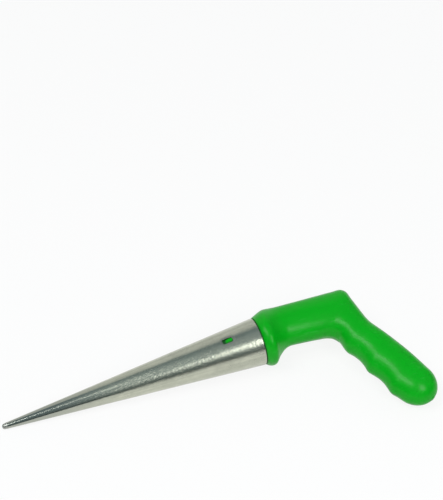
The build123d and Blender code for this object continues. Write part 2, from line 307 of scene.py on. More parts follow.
class EffectShelf:
    """Shader node groups of the shared effects, each built once."""

    built: dict[Effect, bpy.types.NodeTree] = {}
    hair_turns: tuple[Triple, Triple] = ((0.2, 0.5, 0.9), (0.9, -0.3, -0.7))
    hair_stretch: Triple = (1.0, 14.0, 14.0)
    hair_edge: Span = (0.68, 0.74)
    patch_size: float = 0.6
    patch_edge: Span = (0.45, 0.62)

    @classmethod
    def tree(cls, effect: Effect) -> bpy.types.NodeTree:
        """Group of an effect, built on its first use.

        Args:
            effect: The effect.

        Returns:
            Its node group.
        """
        if effect not in cls.built:
            makers = {
                Effect.CLOUDS: cls.clouds,
                Effect.STREAKS: cls.streaks,
                Effect.SCRATCHES: cls.scratches,
                Effect.PEBBLE: cls.pebble,
            }
            cls.built[effect] = makers[effect]()
        return cls.built[effect]

    @staticmethod
    def start(
        effect: Effect, inputs: Sequence[str], output: str
    ) -> tuple[NodeBench, dict[str, Socket], Socket]:
        """Start a group that takes a place on the surface and some numbers and gives one value.

        Args:
            effect: The effect, which gives the group its name.
            inputs: Names of the number inputs.
            output: Name of the value that the group gives.

        Returns:
            A bench for the group, its inputs by name and the socket to feed the result to.
        """
        tree = bpy.data.node_groups.new(effect.value, "ShaderNodeTree")
        tree.interface.new_socket("Vector", in_out="INPUT", socket_type="NodeSocketVector")
        for name in inputs:
            tree.interface.new_socket(name, in_out="INPUT", socket_type="NodeSocketFloat")
        tree.interface.new_socket(output, in_out="OUTPUT", socket_type="NodeSocketFloat")
        bench = NodeBench(tree)
        entry = bench.add("NodeGroupInput")
        leave = bench.add("NodeGroupOutput")
        return bench, {socket.name: socket for socket in entry.outputs}, leave.inputs[output]

    @classmethod
    def clouds(cls) -> bpy.types.NodeTree:
        """Soft patches of tone.

        Returns:
            The node group.
        """
        bench, given, result = cls.start(Effect.CLOUDS, ("Scale", "Contrast"), "Tone")
        tone = bench.noise(given["Vector"], given["Scale"], detail=4.0, rough=0.55, warp=0.4)
        bench.put(result, bench.sharpened(tone, given["Contrast"]))
        return bench.tree

    @classmethod
    def streaks(cls) -> bpy.types.NodeTree:
        """Streaks that follow the cone's straight lines and close up towards its nose.

        Returns:
            The node group.
        """
        bench, given, result = cls.start(Effect.STREAKS, ("Around", "Along", "Contrast"), "Tone")
        parts = bench.parts(given["Vector"])
        outward = bench.vector_maths("NORMALIZE", bench.join(Y=parts["Y"], Z=parts["Z"])).outputs["Vector"]
        around = bench.feed(bench.vector_maths("SCALE", outward), Scale=given["Around"]).outputs["Vector"]
        along = bench.join(X=bench.maths("MULTIPLY", parts["X"], given["Along"]))
        place = bench.vector_maths("ADD", around, along).outputs["Vector"]
        tone = bench.noise(place, scale=1.0, detail=3.0, rough=0.6)
        bench.put(result, bench.sharpened(tone, given["Contrast"]))
        return bench.tree

    @classmethod
    def scratches(cls) -> bpy.types.NodeTree:
        """Short hairline scratches in two directions, in patches.

        Returns:
            The node group.
        """
        bench, given, result = cls.start(Effect.SCRATCHES, ("Scale", "Amount"), "Mask")
        lines: list[Socket] = []
        for turn in cls.hair_turns:
            mapping = bench.add("ShaderNodeMapping")
            bench.feed(mapping, Vector=given["Vector"], Rotation=turn, Scale=cls.hair_stretch)
            hair = bench.noise(mapping.outputs["Vector"], given["Scale"], detail=1.0, warp=0.3)
            lines.append(bench.spread(hair, cls.hair_edge, RISING))
        patch_scale = bench.maths("MULTIPLY", given["Scale"], cls.patch_size)
        patches = bench.noise(given["Vector"], patch_scale, detail=2.0)
        held = bench.spread(patches, cls.patch_edge, (0.0, given["Amount"]))
        bench.put(result, bench.maths("MULTIPLY", bench.maths("MAXIMUM", *lines), held))
        return bench.tree

    @classmethod
    def pebble(cls) -> bpy.types.NodeTree:
        """Height of a pebbled skin: low swells with a finer grain on them.

        Returns:
            The node group.
        """
        bench, given, result = cls.start(Effect.PEBBLE, ("Coarse", "Fine", "Fine share"), "Height")
        swell = bench.noise(given["Vector"], given["Coarse"], detail=1.0, rough=0.4)
        grain = bench.noise(given["Vector"], given["Fine"], detail=3.0, rough=0.6)
        bench.put(result, bench.maths("MULTIPLY_ADD", grain, given["Fine share"], swell))
        return bench.tree


class Finish:
    """Common parts of a finish: a material with the tool's own coordinates and one shader."""

    def __init__(self, name: str, tool: ToolFrame) -> None:
        """Start an empty material with its shader and coordinates.

        Args:
            name: Name of the material.
            tool: Frame that its patterns keep to.
        """
        self.material = bpy.data.materials.new(name)
        self.material.use_nodes = True
        self.bench = NodeBench(self.material.node_tree)
        self.bench.tree.nodes.clear()
        self.shader = self.bench.add("ShaderNodeBsdfPrincipled")
        output = self.bench.add("ShaderNodeOutputMaterial")
        self.bench.feed(output, Surface=self.shader.outputs["BSDF"])
        place = self.bench.add("ShaderNodeTexCoord").outputs["Object"]
        mapping = self.bench.add("ShaderNodeMapping", vector_type="TEXTURE")
        location, rotation, _ = tool.matrix.decompose()
        self.bench.feed(mapping, Vector=place, Location=location, Rotation=rotation.to_euler())
        self.place = mapping.outputs["Vector"]

    def effect(self, effect: Effect, **inputs: Any) -> Socket:
        """Shared effect at the tool's own coordinates."""
        return self.bench.effect(effect, Vector=self.place, **inputs)

    def raise_surface(self, *layers: tuple[Socket, float]) -> None:
        """Bump the shader's normal.

        Args:
            *layers: Heights from 0 to 1, each with its depth in metres.
        """
        normal = None
        for height, depth in layers:
            bump = self.bench.add("ShaderNodeBump")
            self.bench.feed(bump, Height=height, Strength=1.0, Distance=depth)
            if normal is not None:
                self.bench.feed(bump, Normal=normal)
            normal = bump.outputs["Normal"]
        self.bench.feed(self.shader, Normal=normal)


@dataclass(frozen=True)
class ZincFinish:
    """Zinc coat on steel: mottled, streaked along the cone, lightly scratched, and rubbed smoother near the
    nose, where its colour is also painted darker as painted shade.
    """

    name: str
    bright: Colour
    dull: Colour
    smooth: float
    rough: float
    pebble_depth: float
    spangle: float
    streak_share: float
    scratch_amount: float
    # Darker tint near the nose: partly rubbed zinc, partly painted shade.
    rubbed_and_shaded_tint: Colour
    rubbed_and_shaded_from: float = -115.0 * MM
    rubbed_and_shaded_by: float = -168.0 * MM
    rubbed_smooth: float = 0.10
    rubbed_flat: float = 0.75
    cloud_scale: float = 95.0
    cloud_contrast: float = 2.2
    cloud_share: float = 0.6
    mottle_floor: float = 0.15
    grain_scale: float = 620.0
    grain_contrast: float = 2.0
    grain_roughness: float = 0.03
    streaks_around: float = 9.0
    streaks_along: float = 14.0
    streak_contrast: float = 2.4
    streak_height: float = 0.1
    scratch_scale: float = 55.0
    scratch_roughness: float = 0.12
    scratch_height: float = -0.12
    crystal_scale: float = 330.0
    pebble_coarse: float = 470.0
    pebble_fine: float = 1500.0
    pebble_fine_share: float = 0.04

    def make(self, tool: ToolFrame) -> bpy.types.Material:
        """Build the material.

        Args:
            tool: Frame that the streaks follow.

        Returns:
            The finished material.
        """
        finish = Finish(self.name, tool)
        bench = finish.bench
        streaks = finish.effect(
            Effect.STREAKS,
            Around=self.streaks_around,
            Along=self.streaks_along,
            Contrast=self.streak_contrast,
        )
        scratches = finish.effect(Effect.SCRATCHES, Scale=self.scratch_scale, Amount=self.scratch_amount)
        grain = finish.effect(Effect.CLOUDS, Scale=self.grain_scale, Contrast=self.grain_contrast)
        rubbed_and_shaded = bench.spread(bench.parts(finish.place)["X"], (self.rubbed_and_shaded_by, self.rubbed_and_shaded_from), FALLING)
        mottle = self.mottle(finish, streaks)
        colour = bench.blend(mottle, opaque(self.dull), opaque(self.bright))
        # Painted shade: towards the nose the colour goes to the darker tint; the same mask also makes the
        # rubbed zinc smoother and flatter.
        colour = bench.blend(rubbed_and_shaded, colour, opaque(self.rubbed_and_shaded_tint))
        worn = bench.spread(mottle, RISING, (self.rough, self.smooth))
        worn = bench.maths("MULTIPLY_ADD", bench.centred(grain), self.grain_roughness, worn)
        worn = bench.maths("MULTIPLY_ADD", scratches, self.scratch_roughness, worn)
        worn = bench.maths("MULTIPLY_ADD", rubbed_and_shaded, -self.rubbed_smooth, worn)
        bench.feed(finish.shader, Base_Color=colour, Metallic=1.0, Roughness=worn)
        skin = finish.effect(
            Effect.PEBBLE,
            Coarse=self.pebble_coarse,
            Fine=self.pebble_fine,
            Fine_share=self.pebble_fine_share,
        )
        kept = bench.maths("MULTIPLY_ADD", rubbed_and_shaded, -self.rubbed_flat, 1.0)
        finish.raise_surface(
            (bench.maths("MULTIPLY", streaks, kept), self.pebble_depth * self.streak_height),
            (bench.maths("MULTIPLY", skin, kept), self.pebble_depth),
            (scratches, self.pebble_depth * self.scratch_height),
        )
        return finish.material

    def mottle(self, finish: Finish, streaks: Socket) -> Socket:
        """Tone of the zinc: clouds, streaks and crystals together.

        Args:
            finish: The material that the tone is for.
            streaks: The streaks along the cone.

        Returns:
            0 where the zinc is dull and 1 where it is bright.
        """
        bench = finish.bench
        clouds = finish.effect(Effect.CLOUDS, Scale=self.cloud_scale, Contrast=self.cloud_contrast)
        cells = bench.add("ShaderNodeTexVoronoi", feature="F1")
        bench.feed(cells, Vector=finish.place, Scale=self.crystal_scale)
        split = bench.feed(bench.add("ShaderNodeSeparateColor"), Color=cells.outputs["Color"])
        tone = bench.maths("MULTIPLY", clouds, self.cloud_share)
        tone = bench.maths("MULTIPLY_ADD", streaks, self.streak_share, tone)
        tone = bench.maths("MULTIPLY_ADD", split.outputs["Red"], self.spangle, tone)
        most = self.cloud_share + self.streak_share + self.spangle
        return bench.spread(tone, (self.mottle_floor, most), RISING)


@dataclass(frozen=True)
class PlasticFinish:
    """Moulded semi-gloss plastic with a fine skin, faint scuffs and painted shade in the gaps beside the
    sheet.
    """

    name: str
    body: Colour
    pale: Colour
    scuffed: Colour
    roughness: float
    specular: float
    scuff_amount: float
    # Painted shade: dark colour painted into the gaps at the rim and beside the lugs.
    painted_shade_colour: Colour
    line_radius: float
    line_slope: float
    painted_shade_depth: Span = (1.2 * MM, 1.7 * MM)
    painted_shade_end: Span = (0.75 * MM, 1.15 * MM)
    painted_shade_fade: float = 0.4 * MM
    painted_shade_roughness: float = 0.3
    cloud_scale: float = 38.0
    cloud_contrast: float = 1.6
    flow_scale: float = 260.0
    flow_contrast: float = 1.4
    flow_roughness: float = 0.08
    scuff_scale: float = 40.0
    scuff_roughness: float = 0.2
    scuff_depth: float = 0.004 * MM
    swell_scale: float = 55.0
    swell_depth: float = 0.10 * MM
    skin_coarse: float = 2400.0
    skin_fine: float = 6000.0
    skin_fine_share: float = 0.5
    skin_depth: float = 0.006 * MM

    def make(self, tool: ToolFrame) -> bpy.types.Material:
        """Build the material.

        Args:
            tool: Frame that the patterns keep to.

        Returns:
            The finished material.
        """
        finish = Finish(self.name, tool)
        bench = finish.bench
        clouds = finish.effect(Effect.CLOUDS, Scale=self.cloud_scale, Contrast=self.cloud_contrast)
        flow = finish.effect(Effect.CLOUDS, Scale=self.flow_scale, Contrast=self.flow_contrast)
        scuffs = finish.effect(Effect.SCRATCHES, Scale=self.scuff_scale, Amount=self.scuff_amount)
        painted_shade = self.painted_shade(finish)
        colour = bench.blend(clouds, opaque(self.body), opaque(self.pale))
        colour = bench.blend(scuffs, colour, opaque(self.scuffed))
        # Painted shade: the gaps at the rim and beside the lugs are darkened in the base colour.
        colour = bench.blend(painted_shade, colour, opaque(self.painted_shade_colour))
        gloss = bench.maths("MULTIPLY_ADD", bench.centred(flow), self.flow_roughness, self.roughness)
        gloss = bench.maths("MULTIPLY_ADD", scuffs, self.scuff_roughness, gloss)
        gloss = bench.maths("MULTIPLY_ADD", painted_shade, self.painted_shade_roughness, gloss)
        bench.feed(finish.shader, Base_Color=colour, Roughness=gloss, Specular_IOR_Level=self.specular)
        swell = finish.effect(Effect.CLOUDS, Scale=self.swell_scale, Contrast=1.0)
        skin = finish.effect(
            Effect.PEBBLE, Coarse=self.skin_coarse, Fine=self.skin_fine, Fine_share=self.skin_fine_share
        )
        finish.raise_surface((swell, self.swell_depth), (skin, self.skin_depth), (scuffs, -self.scuff_depth))
        return finish.material

    def painted_shade(self, finish: Finish) -> Socket:
        """Mask of the painted shade that darkens the groove at the rim and the gaps beside the lugs.

        Args:
            finish: The material that the mask is for.

        Returns:
            1 where soil lies and 0 elsewhere.
        """
        bench = finish.bench
        parts = bench.parts(finish.place)
        reach = bench.vector_maths("LENGTH", bench.join(Y=parts["Y"], Z=parts["Z"])).outputs["Value"]
        line = bench.maths("MULTIPLY_ADD", parts["X"], self.line_slope, self.line_radius)
        below = bench.spread(bench.maths("SUBTRACT", line, reach), self.painted_shade_depth, RISING)
        before_rim = bench.spread(parts["X"], (0.0, self.painted_shade_fade), FALLING)
        past_rim = bench.spread(parts["X"], (-self.painted_shade_fade, 0.0), RISING)
        groove = bench.maths("MULTIPLY", past_rim, bench.spread(parts["X"], self.painted_shade_end, FALLING))
        return bench.maths("MAXIMUM", bench.maths("MULTIPLY", below, before_rim), groove)


def bridge(mesh: bmesh.types.BMesh, rings: list[Ring]) -> None:
    """Join rings of points into one closed body.

    Args:
        mesh: The mesh that holds the points and takes the faces.
        rings: Rings of equally many points, in order; the first and last are closed flat.
    """
    for ring, after in zip(rings, rings[1:]):
        for k in range(len(ring)):
            following = (k + 1) % len(ring)
            mesh.faces.new((ring[k], ring[following], after[following], after[k]))
    mesh.faces.new(rings[0])
    mesh.faces.new(list(reversed(rings[-1])))


def smooth_mesh(name: str, mesh: bmesh.types.BMesh) -> bpy.types.Mesh:
    """Turn a mesh that was drawn up into a smooth one that can be shown.

    Args:
        name: Name of the mesh.
        mesh: What was drawn up, which is freed.

    Returns:
        The new mesh.
    """
    bmesh.ops.recalc_face_normals(mesh, faces=mesh.faces)
    data = bpy.data.meshes.new(name)
    mesh.to_mesh(data)
    mesh.free()
    data.polygons.foreach_set("use_smooth", [True] * len(data.polygons))
    return data


def show(data: bpy.types.Mesh, slot: Slot, material: bpy.types.Material) -> bpy.types.Object:
    """Show a mesh as a piece of the same name that rides on the tool.

    Args:
        data: The mesh, in the row frame.
        slot: Material slot of the record for the piece; not used.
        material: Its finish.

    Returns:
        The new piece.
    """
    piece = bpy.data.objects.new(data.name, data)
    bpy.context.scene.collection.objects.link(piece)
    data.materials.clear()
    data.materials.append(material)
    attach(piece, BODY)
    LOG.info("%s: %d faces", piece.name, len(data.polygons))
    return piece


def dress_node(name: str, material: bpy.types.Material) -> None:
    """Give a carried-over node its finish.

    Args:
        name: Name of the node.
        material: Its finish.
    """
    node = frame["nodes"][name]
    node.data.materials.clear()
    node.data.materials.append(material)
    LOG.info("%s: finished with %s", name, material.name)


@dataclass(frozen=True)
class Cone:
    """Rolled sheet cone with its slots and the weld that closes it. All sizes are in metres."""

    tool: ToolFrame
    length: float = 202.8 * MM
    rim_radius: float = 18.4 * MM
    end_radius: float = 2.4 * MM
    nose_length: float = 4.0 * MM
    sheet: float = 1.2 * MM
    seam_gap: float = 1.6 * MM
    slot_from_rim: float = 24.8 * MM
    slot_length: float = 8.0 * MM
    slot_width: float = 4.2 * MM
    slot_corner: float = 1.2 * MM
    slot_dish: float = 0.14 * MM
    slot_margin: float = 4.0 * MM
    dish_reach: float = 1.1 * MM
    row_pitch: float = 2.0 * MM
    fine_row_pitch: float = 0.5 * MM
    column_pitch: float = 1.3 * MM
    fine_column_pitch: float = 0.55 * MM
    edge_round: float = 0.16 * MM
    edge_segments: int = 2
    edge_angle: float = 50.0
    unevenness: float = 0.07 * MM
    waves_along: float = 24.0
    waves_around: float = 2.6
    small_waves: float = 3.1
    small_waves_place: Triple = (7.0, 3.0, 5.0)
    small_waves_share: float = 0.25
    wave_fade: float = 1.6
    bead_half_width: float = 1.45 * MM
    bead_end_width: float = 0.55
    bead_root_width: float = 0.45
    bead_root_depth: float = 0.9
    bead_crown: float = 0.26 * MM
    bead_sink: float = 0.04 * MM
    bead_step: float = 0.25 * MM
    bead_halves: int = 5
    bead_pitch: float = 1.5 * MM
    bead_ripple: float = 0.30
    bead_curve: float = 0.45
    bead_steepness: float = 1.3
    bead_wander: float = 0.12 * MM
    bead_wander_rate: float = 90.0
    bead_wander_place: Span = (2.0, 1.0)

    @property
    def shell_length(self) -> float:
        """Length of the sheet, without the nose."""
        return self.length - self.nose_length

    @property
    def slope(self) -> float:
        """How much the sheet's radius grows along the axis."""
        return (self.rim_radius - self.end_radius) / self.shell_length

    @property
    def slot_near(self) -> float:
        """Place along the axis of the slots' end by the rim."""
        return -self.slot_from_rim + self.slot_length * 0.5

    @property
    def slot_far(self) -> float:
        """Place along the axis of the slots' end by the nose."""
        return self.slot_near - self.slot_length

    @property
    def slot_half_angle(self) -> float:
        """Half the angle that a slot takes up round the axis."""
        return math.asin(self.slot_width * 0.5 / self.radius(-self.slot_from_rim))

    def radius(self, x: float) -> float:
        """Outside radius of the sheet at x, which is negative on the cone."""
        return self.rim_radius + self.slope * x

    def seam_angle(self, x: float) -> float:
        """Half the angle that the open line takes up at x."""
        return math.asin(self.seam_gap * 0.5 / self.radius(x))

    def rows(self) -> list[float]:
        """Places of the sheet's rings, closer together by the slots.

        Returns:
            Places along the axis, from the rim to the end.
        """
        before, after = self.slot_near + self.slot_margin, self.slot_far - self.slot_margin
        marks = (0.0, before, self.slot_near, self.slot_far, after, -self.shell_length)
        fine = self.fine_row_pitch
        return spaced(marks, (self.row_pitch, fine, fine, fine, self.row_pitch))

    def columns(self) -> list[float]:
        """Angles of the sheet's lines from the spine, closer together by the slots.

        Returns:
            Angles in order, from one edge of the sheet to the other.
        """
        middle = self.radius(-self.slot_from_rim)
        slot = self.slot_half_angle
        margin = slot + self.slot_margin / middle
        first = self.seam_angle(0.0)
        marks = [first]
        for side in SLOT_SIDES:
            marks += [side - margin, side - slot, side + slot, side + margin]
        marks.append(FULL_TURN - first)
        coarse, fine = self.column_pitch / self.rim_radius, self.fine_column_pitch / middle
        return spaced(marks, (coarse, fine, fine, fine, coarse, fine, fine, fine, coarse))

    def slot_columns(self, columns: list[float]) -> list[tuple[int, int]]:
        """First and last line of each slot.

        Args:
            columns: Angles of the sheet's lines.

        Returns:
            Two line numbers for each slot.
        """
        spans = []
        for side in SLOT_SIDES:
            marks = (side - self.slot_half_angle, side + self.slot_half_angle)
            first, last = [min(columns, key=lambda angle: abs(angle - mark)) for mark in marks]
            spans.append((columns.index(first), columns.index(last)))
        return spans

    def slot_offset(self, x: float, y: float) -> tuple[float, float, float]:
        """Nearest point of the slot's outline in plan and the distance to it.

        Args:
            x: Place along the axis.
            y: Place across the slot.

        Returns:
            The outline's point and the distance, which is negative inside the slot.
        """
        from_middle = x + self.slot_from_rim
        half = (self.slot_length * 0.5 - self.slot_corner, self.slot_width * 0.5 - self.slot_corner)
        core = Vector((max(-half[0], min(half[0], from_middle)), max(-half[1], min(half[1], y))))
        away = Vector((from_middle, y)) - core
        reach = away.length
        if reach < NEXT_TO_NOTHING:
            return x, y, -self.slot_corner
        edge = core + away * (self.slot_corner / reach)
        return edge.x - self.slot_from_rim, edge.y, reach - self.slot_corner

    def stray(self, x: float, angle: float) -> float:
        """How far the rolled sheet strays from a true cone.

        Args:
            x: Place along the axis.
            angle: Angle from the spine.

        Returns:
            The distance outwards.
        """
        out = (self.waves_around * math.cos(angle), self.waves_around * math.sin(angle))
        place = Vector((x * self.waves_along, *out))
        broad = noise.noise(place)
        small = noise.noise(place * self.small_waves + Vector(self.small_waves_place))
        fade = min(1.0, self.radius(x) / self.rim_radius * self.wave_fade)
        return self.unevenness * fade * mix(broad, small, self.small_waves_share)

    def sheet_point(self, x: float, y: float, z_sign: float, depth: float) -> Vector:
        """Point of the sheet straight over a place in plan, at a depth under its outside."""
        radius = self.radius(x) - depth
        return Vector((x, y, z_sign * math.sqrt(max(0.0, radius * radius - y * y))))

    def grid_point(self, x: float, share: float, on_slot: bool) -> tuple[Vector, Vector]:
        """Outside and inside point of the sheet.

        Args:
            x: Place along the axis.
            share: Share of the way round from one edge of the sheet to the other.
            on_slot: Whether the point belongs to a slot's edge.

        Returns:
            The two points in the tool's frame.
        """
        first = self.seam_angle(x)
        angle = first + share * (FULL_TURN - 2.0 * first)
        across = self.radius(x) * math.cos(angle)
        z_sign = 1.0 if math.sin(angle) >= 0.0 else -1.0
        edge_x, edge_y, gap = self.slot_offset(x, across)
        if on_slot:
            x, across, gap = edge_x, edge_y, 0.0
            points = [self.sheet_point(x, across, z_sign, depth) for depth in (0.0, self.sheet)]
        else:
            radii = (self.radius(x), self.radius(x) - self.sheet)
            points = [Vector((x, r * math.cos(angle), r * math.sin(angle))) for r in radii]
        outward = Vector((0.0, points[0].y, points[0].z)).normalized()
        dish = self.slot_dish * math.exp(-((max(gap, 0.0) / self.dish_reach) ** 2))
        moved = outward * (self.stray(x, angle) - dish)
        return points[0] + moved, points[1] + moved

    @staticmethod
    def place_on_slot(i: int, j: int, rows: tuple[int, int], spans: list[tuple[int, int]]) -> SlotPlace:
        """Whether a grid point lies inside a slot, on its edge or off it.

        Args:
            i: The point's row.
            j: The point's column.
            rows: First and last row of the slots.
            spans: First and last column of each slot.

        Returns:
            Where the point lies.
        """
        for low, high in spans:
            if rows[0] < i < rows[1] and low < j < high:
                return SlotPlace.INSIDE
            if rows[0] <= i <= rows[1] and low <= j <= high:
                return SlotPlace.EDGE
        return SlotPlace.OFF

    @staticmethod
    def skin(mesh: bmesh.types.BMesh, outside: Grid, inside: Grid, size: tuple[int, int]) -> None:
        """Cover the grid's outside and inside with faces and close every edge between them.

        Args:
            mesh: The mesh that holds the points and takes the faces.
            outside: Outside points by row and column.
            inside: Inside points by row and column.
            size: Number of rows and columns.
        """
        for i in range(size[0] - 1):
            for j in range(size[1] - 1):
                corners = ((i, j), (i, j + 1), (i + 1, j + 1), (i + 1, j))
                if all(corner in outside for corner in corners):
                    mesh.faces.new([outside[corner] for corner in corners])
                    mesh.faces.new([inside[corner] for corner in reversed(corners)])
        mesh.edges.ensure_lookup_table()
        partner = {outside[key]: inside[key] for key in outside}
        rim = [e for e in mesh.edges if e.is_boundary and all(v in partner for v in e.verts)]
        for edge in rim:
            one, two = edge.verts
            mesh.faces.new((one, two, partner[two], partner[one]))

    def sheet_piece(self, material: bpy.types.Material) -> bpy.types.Object:
        """Sheet with its slots, dished edges and slight unevenness, in place of the plain shell.

        Args:
            material: Its finish.

        Returns:
            The piece.
        """
        rows, columns = self.rows(), self.columns()
        first = columns[0]
        shares = [(angle - first) / (FULL_TURN - 2.0 * first) for angle in columns]
        ends = (rows.index(self.slot_near), rows.index(self.slot_far))
        spans = self.slot_columns(columns)
        mesh = bmesh.new()
        sides: tuple[Grid, Grid] = ({}, {})
        for i, x in enumerate(rows):
            for j, share in enumerate(shares):
                place = self.place_on_slot(i, j, ends, spans)
                if place is SlotPlace.INSIDE:
                    continue
                points = self.grid_point(x, share, place is SlotPlace.EDGE)
                for side, point in zip(sides, points):
                    side[i, j] = mesh.verts.new(self.tool.to_row(point))
        self.skin(mesh, *sides, (len(rows), len(shares)))
        piece = show(smooth_mesh("cone_sheet", mesh), Slot.SHEET, material)
        bevel = piece.modifiers.new("rounded edges", "BEVEL")
        bevel.width = self.edge_round
        bevel.segments = self.edge_segments
        bevel.limit_method = "ANGLE"
        bevel.angle_limit = math.radians(self.edge_angle)
        bevel.harden_normals = True
        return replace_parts(piece, "cone_shell")

    def bead_point(self, x: float, share: float, on_top: bool) -> Vector:
        """Point of the weld bead.

        Args:
            x: Place along the axis.
            share: Share of the way from the bead's middle to an edge.
            on_top: Whether the point lies on the bead's top or on its root.

        Returns:
            The point in the tool's frame.
        """
        radius = self.radius(x)
        if on_top:
            half = self.bead_half_width * mix(self.bead_end_width, 1.0, radius / self.rim_radius)
            phase = FULL_TURN * (x / self.bead_pitch + self.bead_curve * share * share)
            ripple = 1.0 + self.bead_ripple * math.sin(phase + self.bead_steepness * math.sin(phase))
            height = self.bead_crown * (1.0 - share * share) * ripple - self.bead_sink
        else:
            half = self.seam_gap * self.bead_root_width
            height = -self.sheet * self.bead_root_depth
        wander = self.bead_wander * noise.noise(Vector((x * self.bead_wander_rate, *self.bead_wander_place)))
        angle = (share * half + wander) / radius
        reach = radius + height + self.stray(x, self.seam_angle(x))
        return Vector((x, reach * math.cos(angle), reach * math.sin(angle)))

    def bead_piece(self, material: bpy.types.Material) -> bpy.types.Object:
        """Rippled weld bead along the spine side, in place of the plain weld.

        Args:
            material: Its finish.

        Returns:
            The piece.
        """
        top = [share / self.bead_halves for share in range(-self.bead_halves, self.bead_halves + 1)]
        outline = [(share, True) for share in top] + [(1.0, False), (-1.0, False)]
        mesh = bmesh.new()
        rings = []
        for x in spaced((0.0, -self.shell_length), (self.bead_step,)):
            places = [self.tool.to_row(self.bead_point(x, share, on_top)) for share, on_top in outline]
            rings.append([mesh.verts.new(place) for place in places])
        bridge(mesh, rings)
        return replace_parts(show(smooth_mesh("cone_seam_bead", mesh), Slot.WELD, material), "seam_weld")


@dataclass(frozen=True)
class Swell:
    """Soft rise of the grip's sides round a place in plan, in the tool's frame. All sizes are in metres."""

    x: float
    y: float
    reach: float
    height: float
    fade: Span = (2.0 * MM, 7.0 * MM)
    probe: float = 0.02 * MM
    least: float = 0.0005 * MM

    def rise(self, point: Vector) -> float:
        """How far a side stands out; it fades out towards the middle plane.

        Args:
            point: Point of the plain side.

        Returns:
            The distance outwards.
        """
        off = ((point.x - self.x) ** 2 + (point.y - self.y) ** 2) / (2.0 * self.reach**2)
        share = max(0.0, min(1.0, (abs(point.z) - self.fade[0]) / (self.fade[1] - self.fade[0])))
        return self.height * math.exp(-off) * share * share * (3.0 - 2.0 * share)

    def slope(self, point: Vector) -> Vector:
        """How fast the rise grows along each axis."""
        ends = [(point + axis, point - axis) for axis in Matrix.Identity(3) * self.probe]
        return Vector([(self.rise(after) - self.rise(before)) / (2.0 * self.probe) for after, before in ends])


